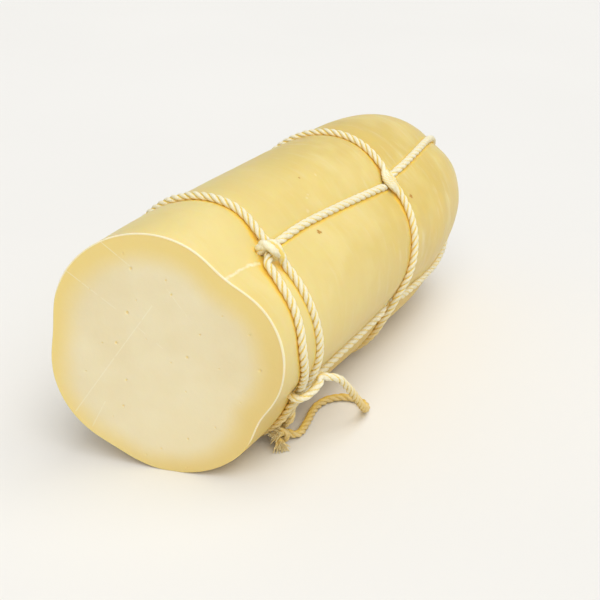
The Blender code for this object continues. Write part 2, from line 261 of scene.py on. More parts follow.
def longRoute(first, firstHitch, second, secondHitch, poleLift):
    # one string: a hitch, up its fold, over the pole, and down the other fold to its hitch
    sides = []
    for fold, hitch in ((first, firstHitch), (second, secondHitch)):
        side = hitchRoute(fold, hitch)[::-1]
        side += grooveRoute(fold, frontHoop["s"] + (hitch[0][0] + 6) * mm)
        sides.append(side + domeRoute(fold, poleLift))
    pole = centre + (0, log["length"] + poleLift, 0)
    return sides[0] + [pole] + sides[1][::-1]


def tailRoute():
    # from hitch A down the side, close behind the front hoop
    points = []
    for turn in range(*tailA["angles"]):
        s = tailA["s"] + tailA["shift"] * ease((turn - tailA["from"]) / tailA["over"])
        points.append(placeAt(radians(turn), s, hoopRadius(frontHoop, radians(turn))))
    return points + [fromMm(*p) for p in tailDrop]


def knotRoute():
    # the end of that tail, wound round the free tail, and its stub
    x, s, z = knotTurn["start"]
    steps = int(knotTurn["turns"] * 12)
    points = []
    for i in range(steps + 1):
        turn = 2 * pi * knotTurn["turns"] * i / steps
        across, up = -knotTurn["radius"] * sin(turn), knotTurn["radius"] * cos(turn)
        points.append(fromMm(x + across, s - knotTurn["pitch"] * turn / (2 * pi), z + up))
    return points + [fromMm(*p) for p in knotStub]


def smoothRoute(points, closed=False):
    # a Catmull-Rom curve through the points, read at even steps
    points = [np.array(p, float) for p in points]
    if closed:
        ends = [points[-2]] + points + [points[1]]
    else:
        ends = [points[0] * 2 - points[1]] + points + [points[-1] * 2 - points[-2]]
    found = []
    for p0, p1, p2, p3 in zip(ends, ends[1:], ends[2:], ends[3:]):
        t = np.linspace(0, 1, 24, endpoint=False)[:, None]
        found.append(0.5 * (2 * p1 + (p2 - p0) * t + (2 * p0 - 5 * p1 + 4 * p2 - p3) * t**2
                            + (3 * p1 - p0 - 3 * p2 + p3) * t**3))
    curve = np.vstack(found + [points[-1][None]])
    gone = np.concatenate([[0], np.cumsum(lengths(np.diff(curve, axis=0)))])
    count = int(round(gone[-1] / string["sample"]))
    even = np.linspace(0, gone[-1], count + 1)
    return np.stack([np.interp(even, gone, curve[:, k]) for k in range(3)], axis=1)


def nearestRow(route, point):
    return int(np.argmin(lengths(route - point)))


upperWhole = smoothRoute(knotRoute()[::-1] + tailRoute()[::-1] + longRoute(
    folds["a"], hitchA, folds["c"], hitchC, string["innerPole"]))
lowerWhole = smoothRoute([fromMm(*p) for p in freeTail[::-1]] + longRoute(
    folds["b"], hitchB, folds["d"], hitchD, string["outerPole"]))
upperSplit = nearestRow(upperWhole, fromMm(*tailDrop[-1]))
lowerSplit = nearestRow(lowerWhole, hitchRoute(folds["b"], hitchB)[-1])
around = np.linspace(0, 2 * pi, 181)
routes = {
    "frontHoop": smoothRoute(onHoop(frontHoop, around), closed=True),
    "rearHoop": smoothRoute(onHoop(rearHoop, around), closed=True),
    "upperString": upperWhole, "lowerString": lowerWhole,
}
print("string routes laid:", {name: len(route) for name, route in routes.items()})


# Shader helpers

def plug(tree, socket, value):
    # links a socket to the input, or gives it a plain value
    if isinstance(value, bpy.types.NodeSocket):
        tree.links.new(value, socket)
    elif value is not None:
        socket.default_value = value


def plugAll(tree, node, values):
    for name, value in values.items():
        plug(tree, node.inputs[name.replace("_", " ")], value)


def addNode(tree, kind, inputs=None, **settings):
    made = tree.nodes.new("ShaderNode" + kind)
    for name, value in settings.items():
        setattr(made, name, value)
    plugAll(tree, made, inputs or {})
    return made


def maths(tree, operation, *values, clamp=False):
    made = addNode(tree, "Math", operation=operation, use_clamp=clamp)
    for socket, value in zip(made.inputs, values):
        plug(tree, socket, value)
    return made.outputs[0]


def times(tree, first, second):
    return maths(tree, "MULTIPLY", first, second)


def vectorMaths(tree, operation, *values, scale=None):
    made = addNode(tree, "VectorMath", operation=operation)
    for socket, value in zip(made.inputs, values):
        plug(tree, socket, value)
    if scale is not None:
        plug(tree, made.inputs["Scale"], scale)
    return made.outputs["Value" if operation in ("DOT_PRODUCT", "DISTANCE", "LENGTH") else "Vector"]


def rampUp(tree, value, low, high, toLow=0.0, toHigh=1.0):
    made = addNode(tree, "MapRange", {"Value": value, "From Min": low, "From Max": high, "To Min": toLow,
                                      "To Max": toHigh}, interpolation_type="SMOOTHSTEP")
    return made.outputs["Result"]


def mixColour(tree, share, first, second):
    made = addNode(tree, "Mix", data_type="RGBA")
    for place, value in ((0, share), (6, first), (7, second)):
        plug(tree, made.inputs[place], value)
    return made.outputs[2]


def noise(tree, where, scale, detail=2.0, roughness=0.5, output="Fac"):
    made = addNode(tree, "TexNoise", {"Vector": where, "Scale": scale, "Detail": detail,
                                      "Roughness": roughness})
    return made.outputs[output]


def attribute(tree, name):
    return addNode(tree, "Attribute", attribute_name=name).outputs["Fac"]


def objectPlace(tree):
    return addNode(tree, "TexCoord").outputs["Object"]


def height(tree, where):
    return addNode(tree, "SeparateXYZ", {"Vector": where}).outputs["Z"]


def newGroup(name, inputs, outputs):
    # a tuple makes a vector socket and a number a float one; what comes out is always a float
    group = bpy.data.node_groups.new(name, "ShaderNodeTree")
    for label, value in inputs.items():
        kind = "NodeSocketVector" if isinstance(value, tuple) else "NodeSocketFloat"
        group.interface.new_socket(label, in_out="INPUT", socket_type=kind).default_value = value
    for label in outputs:
        group.interface.new_socket(label, in_out="OUTPUT", socket_type="NodeSocketFloat")
    start = group.nodes.new("NodeGroupInput")
    end = group.nodes.new("NodeGroupOutput")
    return group, start.outputs, end.inputs


def nearness(tree, far, reach):
    return maths(tree, "SUBTRACT", 1.0, maths(tree, "DIVIDE", far, reach), clamp=True)


def makeLineMark():
    # a thin mark along a straight line, broken up by noise
    group, given, made = newGroup(
        "lineMark", {"Position": (0, 0, 0), "From": (0, 0, 0), "To": (1, 0, 0), "Half Width": 0.5 * mm,
                     "Waver": 0.0, "Breaks": 0.4}, ["Mask"])
    position = given["Position"]
    wander = noise(group, position, 260.0, output="Color")
    centred = vectorMaths(group, "SUBTRACT", wander, (0.5, 0.5, 0.5))
    where = vectorMaths(group, "ADD", position, vectorMaths(group, "SCALE", centred, scale=given["Waver"]))
    run = vectorMaths(group, "SUBTRACT", given["To"], given["From"])
    away = vectorMaths(group, "SUBTRACT", where, given["From"])
    along = vectorMaths(group, "DOT_PRODUCT", away, run)
    share = maths(group, "DIVIDE", along, vectorMaths(group, "DOT_PRODUCT", run, run), clamp=True)
    foot = vectorMaths(group, "SCALE", run, scale=share)
    far = vectorMaths(group, "LENGTH", vectorMaths(group, "SUBTRACT", away, foot))
    near = nearness(group, far, given["Half Width"])
    patchy = rampUp(group, noise(group, position, 190.0, 3.0), given["Breaks"],
                    maths(group, "ADD", given["Breaks"], 0.12))
    group.links.new(times(group, near, patchy), made["Mask"])
    return group


def makeSpotMark():
    # a small irregular fleck round a point
    group, given, made = newGroup(
        "spotMark", {"Position": (0, 0, 0), "Centre": (0, 0, 0), "Radius": 1 * mm}, ["Mask"])
    away = vectorMaths(group, "DISTANCE", given["Position"], given["Centre"])
    ragged = rampUp(group, noise(group, given["Position"], 900.0, 2.0), 0.3, 0.7, 0.6, 1.3)
    reach = times(group, given["Radius"], ragged)
    near = nearness(group, away, reach)
    group.links.new(rampUp(group, near, 0.0, 0.5), made["Mask"])
    return group


def makeCurdGrain():
    # the fine unevenness of stretched curd: a soft mottle and a shallow relief
    group, given, made = newGroup(
        "curdGrain", {"Position": (0, 0, 0), "Coarse": 40.0, "Fine": 600.0}, ["Mottle", "Relief"])
    soft = noise(group, given["Position"], given["Coarse"], 3.0, 0.55)
    fine = noise(group, given["Position"], given["Fine"], 3.0, 0.6)
    group.links.new(rampUp(group, soft, 0.3, 0.7), made["Mottle"])
    group.links.new(maths(group, "MULTIPLY_ADD", fine, 0.35, times(group, soft, 0.65)), made["Relief"])
    return group


groups = {"line": makeLineMark(), "spot": makeSpotMark(), "grain": makeCurdGrain()}


def placeGroup(tree, name, **inputs):
    made = tree.nodes.new("ShaderNodeGroup")
    made.node_tree = groups[name]
    plugAll(tree, made, inputs)
    return made.outputs


def newMaterial(name, **sockets):
    made = bpy.data.materials.new(name)
    made.use_nodes = True
    shader = made.node_tree.nodes["Principled BSDF"]
    plugAll(made.node_tree, shader, sockets)
    return made, made.node_tree, shader


def bumpInto(tree, shader, height, distance):
    bump = addNode(tree, "Bump", {"Height": height, "Distance": distance, "Strength": 1.0})
    tree.links.new(bump.outputs["Normal"], shader.inputs["Normal"])


def layTones(tree, shader, colour, look, marks):
    # one after another, each mask lays its share of its tone over the colour
    for mask, name in marks:
        tone, share = look[name]
        colour = mixColour(tree, times(tree, mask, share), colour, tone)
    tree.links.new(colour, shader.inputs["Base Color"])


# String material: cream cotton, in millimetres along and round each strand

stringLook = {
    "warm": (0.98, 0.84, 0.44, 1), "bright": (1.0, 0.98, 0.87, 1), "cream": ((1.0, 0.94, 0.67, 1), 0.6),
    # the crease tone is painted golden shade between the strands
    "crease": ((1.0, 0.77, 0.19, 1), 0.95), "yarnsPerMm": 1.5, "slope": 38, "relief": 0.14 * mm,
    # painted shade: golden on the string's side that faces the cheese, and darker golden low down, between
    # two heights
    "stained": ((1.0, 0.71, 0.15, 1), 1.0), "aged": ((0.88, 0.64, 0.22, 1), 0.8), "agedSpan": (42, 10),
}


def makeStringMaterial():
    look = stringLook
    made, tree, shader = newMaterial("creamCotton", Roughness=0.85, Specular_IOR_Level=0.2)
    uv = addNode(tree, "UVMap", uv_map="yarnMap").outputs["UV"]
    slope = (0, 0, radians(look["slope"]))
    turned = addNode(tree, "Mapping", {"Vector": uv, "Rotation": slope}).outputs[0]
    stretched = addNode(tree, "Mapping", {"Vector": turned, "Scale": (3.0, 0.2, 1)}).outputs[0]
    fibres = noise(tree, stretched, 1.3, 4.0, 0.62)
    yarns = addNode(tree, "TexWave", {"Vector": turned, "Scale": look["yarnsPerMm"], "Distortion": 1.6,
                                      "Detail": 2.0, "Detail Scale": 0.6}).outputs["Fac"]
    patches = rampUp(tree, noise(tree, uv, 0.12, 2.0), 0.3, 0.75, 0.25 / 0.6, 1.0)
    # painted shade: the string turns darker golden low down
    low = rampUp(tree, height(tree, objectPlace(tree)), *(edge * mm for edge in look["agedSpan"]))
    low = times(tree, low, maths(tree, "SUBTRACT", 1.0, attribute(tree, "fresh")))
    toned = mixColour(tree, rampUp(tree, fibres, 0.36, 0.62), look["warm"], look["bright"])
    layTones(tree, shader, toned, look, [
        (patches, "cream"), (rampUp(tree, attribute(tree, "valley"), 0.1, 0.8), "crease"), (low, "aged"),
        (attribute(tree, "touch"), "stained")])
    relief = maths(tree, "MULTIPLY_ADD", fibres, 0.6, times(tree, yarns, 0.5))
    bumpInto(tree, shader, relief, look["relief"])
    return made


cotton = makeStringMaterial()


# Rope building: every strand is a flat grid wrapped round its own helix

rope = {
    "strands": 3, "pitch": 13.5 * mm, "offset": 1.02 * mm, "strandRadius": 1.07 * mm, "sides": 20,
    "yarns": 5, "yarnDepth": 0.1, "yarnPitch": 8 * mm, "wobble": 0.045,
    "wobbleLengths": (31 * mm, 13 * mm, 5.3 * mm), "offFloor": 0.02 * mm, "touchShare": 0.85,
    # pulled over the log, a string is smoother and turns less
    "tautPitch": 17 * mm, "tautFrom": 125 * mm, "tautOver": 20 * mm, "tautBy": 0.22 * mm,
    # strands that lie side by side
    "abreast": 3.2 * mm, "flattened": 0.4, "fuller": 0.42, "splayDepth": 0.16, "splayShare": 0.7,
}


def unit(vectors):
    return vectors / np.maximum(lengths(vectors)[..., None], 1e-12)


def wrapGrid(mesh, places, size=(1.0, 1.0), **marks):
    # rows run along the form and columns round it; size is what its map measures
    rows, columns = places.shape[:2]
    made = bmesh.ops.create_grid(
        mesh, x_segments=columns - 1, y_segments=rows - 1, size=0.5, calc_uvs=True)["verts"]
    for vert, place in zip(made, places.reshape(-1, 3)):
        vert.co = place
    for name, values in marks.items():
        layer = mesh.verts.layers.float[name]
        for vert, value in zip(made, values.ravel()):
            vert[layer] = value
    uv = mesh.loops.layers.uv.active
    for vert in made:
        for loop in vert.link_loops:
            loop[uv].uv = (loop[uv].uv.x * size[0], loop[uv].uv.y * size[1])


def stepOf(route):
    return lengths(route[1] - route[0])


def carriedFrames(route, closed):
    # two directions across the route, carried along it without turning
    ahead = np.gradient(route, axis=0)
    if closed:
        ahead[0] = ahead[-1] = route[1] - route[-2]
    ahead = unit(ahead)
    sides = [unit(np.cross(ahead[0], (0.3, 0.2, 0.93)))]
    for heading in ahead[1:]:
        sides.append(unit(sides[-1] - heading * np.dot(sides[-1], heading)))
    sides = np.array(sides)
    ups = np.cross(ahead, sides)
    if closed:
        # what the frame has turned on its way round is spread over the loop
        missed = np.arctan2(np.dot(sides[-1], ups[0]), np.dot(sides[-1], sides[0]))
        turn = -missed * np.linspace(0, 1, len(route))[:, None]
        sides, ups = sides * np.cos(turn) + ups * np.sin(turn), ups * np.cos(turn) - sides * np.sin(turn)
    return sides, ups


def softWave(route):
    # a smooth random wobble along the rope
    along, waves = np.arange(len(route)) * stepOf(route), rope["wobbleLengths"]
    wobble = sum(np.sin(2 * pi * (along / wave + rng.random())) for wave in waves)
    return rope["wobble"] * wobble / len(waves)


def strandSkin(centres, outward, reach):
    # reach: how far the skin lies from the centres, for each row and step round it
    ahead = unit(np.gradient(centres, axis=0))
    first = unit(outward - ahead * np.sum(outward * ahead, axis=1, keepdims=True))
    second = np.cross(ahead, first)
    turn = np.linspace(0, 2 * pi, reach.shape[1])[None, :, None]
    out = np.cos(turn) * first[:, None] + np.sin(turn) * second[:, None]
    return centres[:, None] + reach[..., None] * out


def layAt(sides, ups, turns, strand):
    # where one strand lies beside the route, as a direction for each row
    turn = 2 * pi * (turns + strand / rope["strands"])
    return sides * np.cos(turn)[:, None] + ups * np.sin(turn)[:, None]


def tautAt(route):
    # 0 near a string's knotted start and 1 where it is pulled over the log
    gone = np.arange(len(route)) * stepOf(route)
    return ease((gone - rope["tautFrom"]) / rope["tautOver"])


def layRope(mesh, route, turns, rows, closed, splay, lean):
    # rows: the stretch that this piece has; splay: where its strands lie side by side, moved by lean
    sides, ups = carriedFrames(route, closed)
    share = 1.0 if closed else drawnIn(route)
    closer = 0 if closed else rope["tautBy"] * tautAt(route)
    splay = splay + np.zeros(len(route))
    splayed = splay[:, None]
    outward = unit((route - centre) * (1, 0, 1))
    beside = unit(np.cross(unit(np.gradient(route, axis=0)), outward))
    step = stepOf(route)
    offset, thickness = (rope["offset"] - closer) * share, (rope["strandRadius"] + closer) * share
    reach = (offset + thickness) * np.ones(len(route))
    most = int(np.argmax(splay))
    ranks = np.argsort(np.argsort([np.dot(layAt(sides, ups, turns, strand)[most], beside[most])
                                   for strand in range(rope["strands"])])) - 1
    for strand in range(rope["strands"]):
        out = layAt(sides, ups, turns, strand)
        abreast = beside * ranks[strand] * rope["abreast"] - outward * rope["flattened"] * rope["offset"]
        centres = route + out * (offset * (1 - splay))[:, None] + (abreast + np.array(lean)) * splayed
        wobble = 1 + softWave(route)
        if closed:
            wobble = wobble + (wobble[0] - wobble[-1]) * np.linspace(0, 1, len(route))
        radius = thickness * wobble * (1 + rope["fuller"] * splay)
        yarnTurn = -np.round(step * len(route) / rope["yarnPitch"]) * 2 * pi * np.linspace(0, 1, len(route))
        yarns = np.cos(rope["yarns"] * (np.linspace(0, 2 * pi, rope["sides"] + 1)[None] - yarnTurn[:, None]))
        depths = rope["yarnDepth"] + rope["splayDepth"] * splayed
        facing = unit(out * (1 - 0.999 * splayed) + outward * splayed)
        skin = strandSkin(centres, facing, radius[:, None] * (1 + depths * yarns))
        if closed:
            skin[-1] = skin[0]
        # how deep each point lies between the strands, for the painted shade in the creases
        depth = lengths(skin - route[:, None]) / reach[:, None]
        valley = ease((0.94 - depth) / 0.24) * (1 - rope["splayShare"] * splayed)
        valley = np.maximum(valley, rope["splayShare"] * splayed * ease(0.2 - yarns))
        rise = np.sum((skin - route[:, None]) * outward[:, None], axis=2) / reach[:, None]
        # the side that faces the rind gets painted golden shade
        touch = rope["touchShare"] * ease((-0.15 - rise) / 0.7)
        keepAbove(skin, rope["offFloor"])
        skin, valley, touch = (part[slice(*rows)] for part in (skin, valley, touch))
        wrapGrid(mesh, skin, (6.1, len(skin) * step / mm), valley=valley, touch=touch)


hair = {"every": 5 * mm, "radius": 0.045 * mm, "from": 1.5 * mm, "length": (1.6, 3.2), "rise": 1.3 * mm,
        "fall": 0.7 * mm, "offFloor": 0.2 * mm}


def addHairs(mesh, route, rows):
    # stray fibres that stand off the string
    sides, ups = carriedFrames(route, False)
    first, last = rows[0], rows[1] or len(route)
    for row in range(first + 6, last - 12, int(hair["every"] / stepOf(route))):
        row = min(row + int(rng.integers(0, 8)), last - 8)
        turn = rng.uniform(0, 2 * pi)
        out = sides[row] * cos(turn) + ups[row] * sin(turn)
        ahead = unit(route[row + 1] - route[row]) * rng.choice([-1, 1])
        reach = rng.uniform(*hair["length"]) * mm
        t = np.linspace(0, 1, 6)[:, None]
        arch = hair["rise"] * t - hair["fall"] * t * t * rng.uniform(0.5, 1.6)
        centres = route[row] + out * hair["from"] + ahead * reach * t + out * arch
        keepAbove(centres, hair["offFloor"])
        reached = hair["radius"] * np.linspace(1, 0.4, 6)[:, None] * np.ones(5)
        skin = strandSkin(centres, np.repeat(out[None], 6, 0), reached)
        wrapGrid(mesh, skin, (0.3, reach / mm))


fray = {"yarns": 44, "length": 4.8 * mm, "radius": 0.4 * mm, "flare": 0.5, "rings": 12, "spread": 2.3 * mm,
        "rooted": 1.2 * mm, "curl": 0.22 * mm, "droop": 0.1, "offFloor": 0.4 * mm}


def addFray(mesh, route):
    # the end at the route's start, opened into its yarns
    end, heading = route[0], unit(route[0] - route[4])
    side = unit(np.cross(heading, (0.2, 0.1, 1)))
    up = np.cross(side, heading)
    t = np.linspace(0, 1, fray["rings"])[:, None]
    for i in range(fray["yarns"]):
        turn = 2.4 * i + rng.uniform(-0.3, 0.3)
        offset = fray["spread"] * ((i + 0.5) / fray["yarns"]) ** 0.5
        out = side * cos(turn) + up * sin(turn)
        reach = fray["length"] * rng.uniform(0.55, 1.15)
        flare = fray["flare"] * rng.uniform(0.3, 1.3) * (0.3 + offset / fray["spread"])
        centres = end - heading * fray["rooted"] + out * offset * 0.85
        centres = centres + heading * (reach + fray["rooted"]) * t + out * reach * flare * t**1.6
        centres = centres - np.array([0, 0, 1]) * reach * fray["droop"] * t**2
        centres = centres + up * fray["curl"] * np.sin(2 * pi * (1.6 * t + rng.random())) * t
        keepAbove(centres, fray["offFloor"])
        reached = fray["radius"] * (1.0 - 0.5 * t) * rng.uniform(0.8, 1.3) * np.ones(8)
        skin = strandSkin(centres, np.repeat(out[None], len(t), 0), reached)
        tip = np.repeat(t, skin.shape[1], 1)
        # painted shade on the fray: golden at its root, and less of the low-down shade towards its tips
        wrapGrid(mesh, skin, (2.2, reach / mm), fresh=0.4 + 0.6 * tip, touch=0.75 - 0.4 * tip)


def newMesh(*marks):
    mesh = bmesh.new()
    mesh.loops.layers.uv.new("yarnMap")
    for name in marks:
        mesh.verts.layers.float.new(name)
    return mesh


def closeUp(mesh):
    bmesh.ops.remove_doubles(mesh, verts=mesh.verts, dist=1e-7)
    bmesh.ops.holes_fill(mesh, edges=[edge for edge in mesh.edges if edge.is_boundary], sides=0)
    bmesh.ops.recalc_face_normals(mesh, faces=mesh.faces)


def finishPiece(mesh, name, slotName, materials, *nodes):
    piece = meshObject(name, mesh)
    for material in materials:
        piece.data.materials.append(material)
    piece.data.shade_smooth()
    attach(piece, "root")
    if nodes:
        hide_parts(*nodes)
    return piece


# the knot at the free end is pulled tight, and hitch A is slack and full where it turns round the hoop
tight = {"by": 0.12, "over": 7 * mm}
slack = {"by": 0.3, "over": 6.5 * mm}


def near(route, point, over):
    return bell(lengths(route - point) / over)


def drawnIn(route):
    # how thick the string is at each row, as a share of what it is elsewhere
    x, s, z = knotTurn["start"]
    knotMiddle = fromMm(x, s - knotTurn["pitch"] * knotTurn["turns"] / 2, z)
    bight = hitchRoute(folds["a"], hitchA)[7]
    return (1 - tight["by"] * near(route, knotMiddle, tight["over"])
            + slack["by"] * near(route, bight, slack["over"]))


def longTurns(route):
    # how many turns the strands of a long string have made at each row
    pitch = rope["pitch"] + (rope["tautPitch"] - rope["pitch"]) * tautAt(route)
    return np.concatenate([[0], np.cumsum(stepOf(route) / pitch[:-1])])


def hoopTurns(route, splay=0.0):
    # whole turns round a closed route; the twist pauses where the strands are splayed
    rate = np.ones(len(route)) - 0.9 * splay
    turns = np.concatenate([[0], np.cumsum(rate[:-1])])
    return turns / turns[-1] * round(lengths(np.diff(route, axis=0)).sum() / rope["pitch"])


def splayAt(route, point, ahead, behind):
    # 1 where another string lifts this one, fading to both sides
    middle = nearestRow(route, point)
    away = (np.arange(len(route)) - middle) * stepOf(route)
    return bell(away / np.where(away > 0, ahead, behind))


def makeString(name, node, route, turns, rows=(0, None), closed=False, frayed="", splay=0.0,
               lean=(0, 0, 0)):
    mesh = newMesh(*stringMarks)
    layRope(mesh, route, turns, rows, closed, splay, lean)
    addHairs(mesh, route, rows)
    if frayed:
        addFray(mesh, route if frayed == "start" else route[::-1])
    closeUp(mesh)
    return finishPiece(mesh, name, "string", [cotton], node)


# the rear hoop and the string of hitch A lie flat where they are lifted
hoopSplay = {"angle": 41, "ahead": 7 * mm, "behind": 5 * mm, "lean": (0, -2.4 * mm, 0)}
hitchSplay = {"point": 9, "reach": 5 * mm, "share": 0.5}
stringMarks = ("valley", "touch", "fresh")

front, rear = routes["frontHoop"], routes["rearHoop"]
lifted = onHoop(rearHoop, np.array(radians(hoopSplay["angle"])))
rearSplay = splayAt(rear, lifted, hoopSplay["ahead"], hoopSplay["behind"])
makeString("frontHoop", "hoop_1", front, hoopTurns(front), closed=True)
makeString("rearHoop", "hoop_2", rear, hoopTurns(rear, rearSplay), closed=True, splay=rearSplay,
           lean=hoopSplay["lean"])
print("hoops made")

overHoop = hitchRoute(folds["a"], hitchA)[hitchSplay["point"]]
upperSplay = hitchSplay["share"] * splayAt(upperWhole, overHoop, hitchSplay["reach"], hitchSplay["reach"])
upperTurns, lowerTurns = longTurns(upperWhole), longTurns(lowerWhole)
makeString("upperString", "long_cord_ac", upperWhole, upperTurns, (upperSplit, None), frayed="end",
           splay=upperSplay)
makeString("lowerString", "long_cord_bd", lowerWhole, lowerTurns, (lowerSplit, None), frayed="end")
endKnot = makeString("endKnot", "end_knot", upperWhole, upperTurns, (0, upperSplit + 1), frayed="start")
freeEnd = makeString("freeTail", "loose_tail", lowerWhole, lowerTurns, (0, lowerSplit + 1))
frayMesh = newMesh(*stringMarks)
addFray(frayMesh, lowerWhole)
closeUp(frayMesh)
tailFray = finishPiece(frayMesh, "tailFray", "string", [cotton])
print("strings made")


# The cheese: a grid wrapped from the middle of the cut, over its lip and along the rind to the pole

cheese = {
    "columns": 276, "faceStep": 1.7 * mm, "edge": (3.2, 2.5, 1.9, 1.45, 1.1, 0.8, 0.55, 0.3, 0.12),
    "edgeFrom": 3.6 * mm, "start": (0.15, 0.4, 0.8, 1.4, 2.2, 3.2), "logFrom": 4.4 * mm,
    "logStep": 1.35 * mm, "domeRows": 84, "lipHeight": 0.2 * mm, "lipFrom": 0.4 * mm,
    "lipWidth": 0.42 * mm, "lipArc": (38, 110), "lipFade": 25, "lipReach": 0.8 * mm, "wave": 0.16 * mm,
}
press = {"snug": 0.3 * mm, "slope": 1.5, "round": 0.45 * mm, "shoulder": 4.6 * mm, "shoulderSlope": 0.2,
         "shoulderRound": 0.25 * mm, "within": 12 * mm, "besideWithin": 9 * mm, "shadeTo": (0, -0.6, -0.8),
         "grooveFull": 2.5 * mm, "grooveEnd": 3.7 * mm}
ring = np.linspace(0, 2 * pi, cheese["columns"] + 1)
# the cut left a raised lip along one side of the rim
lipMiddle, lipHalf, lipFade = np.radians((*cheese["lipArc"], cheese["lipFade"]))
lipShare = ease((lipHalf - np.abs(wrapped(ring - lipMiddle))) / lipFade)


def logGrid():
    # each row with how far it lies from the rim and how far along the log
    rim = placeAt(ring, cutS(ring), rindRadius(ring, cutS(ring)))
    keepAbove(rim)
    reach = lengths(rim - centre)
    flat = 0 * ring
    rows = [(centre + share * (rim - centre), reach * (1 - share), flat)
            for share in np.arange(0, reach.mean() - cheese["edgeFrom"], cheese["faceStep"]) / reach.mean()]
    for inset in cheese["edge"] + (0,):
        row = centre + (1 - inset * mm / reach)[:, None] * (rim - centre)
        bead = bell((inset * mm - cheese["lipFrom"]) / cheese["lipWidth"])
        row[:, 1] -= cheese["lipHeight"] * bead * (0.25 + 0.75 * lipShare)
        rows.append((row, flat + inset * mm, flat))
    faceRows = len(rows)
    steps = int((log["domeFrom"] - cheese["logFrom"]) / cheese["logStep"])
    turns = np.linspace(0, 1, cheese["domeRows"] + 1)[1:-1]
    for base in [start * mm for start in cheese["start"]] + [
            *np.linspace(cheese["logFrom"], log["domeFrom"], steps),
            *domeS(pi / 2 * (1 - (1 - turns) ** 1.15))]:
        s = base + cutS(ring) * (1 - ease(base / log["squareFrom"]))
        row = placeAt(ring, s, rindRadius(ring, s))
        keepAbove(row)
        rows.append((row, flat, s))
    rows.append((placeAt(ring, flat + log["length"], flat), flat, flat + log["length"]))
    places, toRim, along = (np.array(part) for part in zip(*rows))
    return places, toRim, along, faceRows


def gridNormals(places):
    down = np.gradient(places, axis=0)
    across = np.gradient(places, axis=1)
    across[:, 0] = across[:, -1] = places[:, 1] - places[:, -2]
    return unit(np.cross(across, down))


def softMin(first, second, width):
    mixed = np.clip(0.5 + 0.5 * (second - first) / width, 0, 1)
    return second + (first - second) * mixed - width * mixed * (1 - mixed)


def pressStrings(places, normals, faceRows):
    # the rind gives way under each string and rises again beside it
    flat, out = places.reshape(-1, 3), normals.reshape(-1, 3)
    groove, sunk = np.zeros(len(flat)), np.zeros(len(flat))
    radius, slope = string["radius"] - press["snug"], press["slope"]
    corner = radius * slope / (1 + slope**2) ** 0.5
    for name, route in routes.items():
        tree = KDTree(len(route))
        for i, point in enumerate(route):
            tree.insert(point, i)
        tree.balance()
        nearest, away = np.array([tree.find(point)[1:] for point in flat]).T
        offset = flat - route[nearest.astype(int)]
        height = np.sum(offset * out, axis=1)
        beside = np.sqrt(np.maximum(np.sum(offset * offset, axis=1) - height**2, 0))
        bowl = -np.sqrt(np.maximum(radius**2 - np.minimum(beside, corner) ** 2, 0))
        target = np.where(beside < corner, bowl, bowl + slope * (beside - corner))
        if name.endswith("Hoop"):
            target = softMin(target, -string["lift"] + press["shoulderSlope"] * (beside - press["shoulder"]),
                             press["shoulderRound"])
        wanted = softMin(height, target, press["round"])
        close = (away < press["within"]) & (beside < press["besideWithin"])
        sunk = np.where(close, np.minimum(sunk, wanted - height), sunk)
        # painted shade in the groove beside each string, deepest on its lower and forward side
        lower = ease((unit(offset) @ np.array(press["shadeTo"]) + 0.3) / 0.6)
        edge = ease((press["grooveEnd"] - beside) / (press["grooveEnd"] - press["grooveFull"]))
        groove = np.maximum(groove, np.where(close, edge * (0.3 + 0.7 * lower), 0))
    sunk = np.where(np.arange(len(flat)) // places.shape[1] >= faceRows, sunk, 0)
    moved = flat + out * sunk[:, None]
    return moved.reshape(places.shape), groove.reshape(places.shape[:2])


def gentleWaves(places):
    # slow unevenness of a form that hung in its net
    waves = np.zeros(places.shape[:2])
    for _ in range(9):
        direction = unit(rng.normal(size=3)) / rng.uniform(18 * mm, 70 * mm)
        waves += np.sin(2 * pi * (places @ direction + rng.random()))
    return cheese["wave"] * waves / 3


# small holes in the paste: x and z in mm from the log's axis, and the hole's radius
eyes = [
    (-13, 53, 0.7), (-10, 46, 0.9), (6, 42, 0.6), (8, 35, 0.7), (-9, 30, 0.5), (-14, 23, 1.0),
    (-21, 6, 0.9), (-28, 5, 0.5), (13, 3, 0.9), (20, 16, 0.6), (43, 19, 0.6), (28, -1, 0.5),
    (47, 1, 0.9), (-18, -14, 0.7), (5, -1, 0.5), (11, -16, 0.5), (-21, -29, 0.8), (10, -43, 0.7),
    (-4, -51, 0.6), (-12, -56, 0.5), (8, -60, 0.5), (31, 27, 0.5), (-31, 33, 0.4), (24, -34, 0.5),
    (-38, -12, 0.5), (37, -18, 0.4), (-6, 10, 0.4), (-27, -36, 0.4),
]


pit = {"patch": 0.9 * mm, "cuts": 3, "behind": 0.6 * mm, "wider": 1.1, "squash": 0.8, "depth": 0.7}


def faceY(x, z):
    return log["faceY"] + log["slantX"] * (x - log["axisX"]) + log["slantZ"] * (z - log["axisZ"])


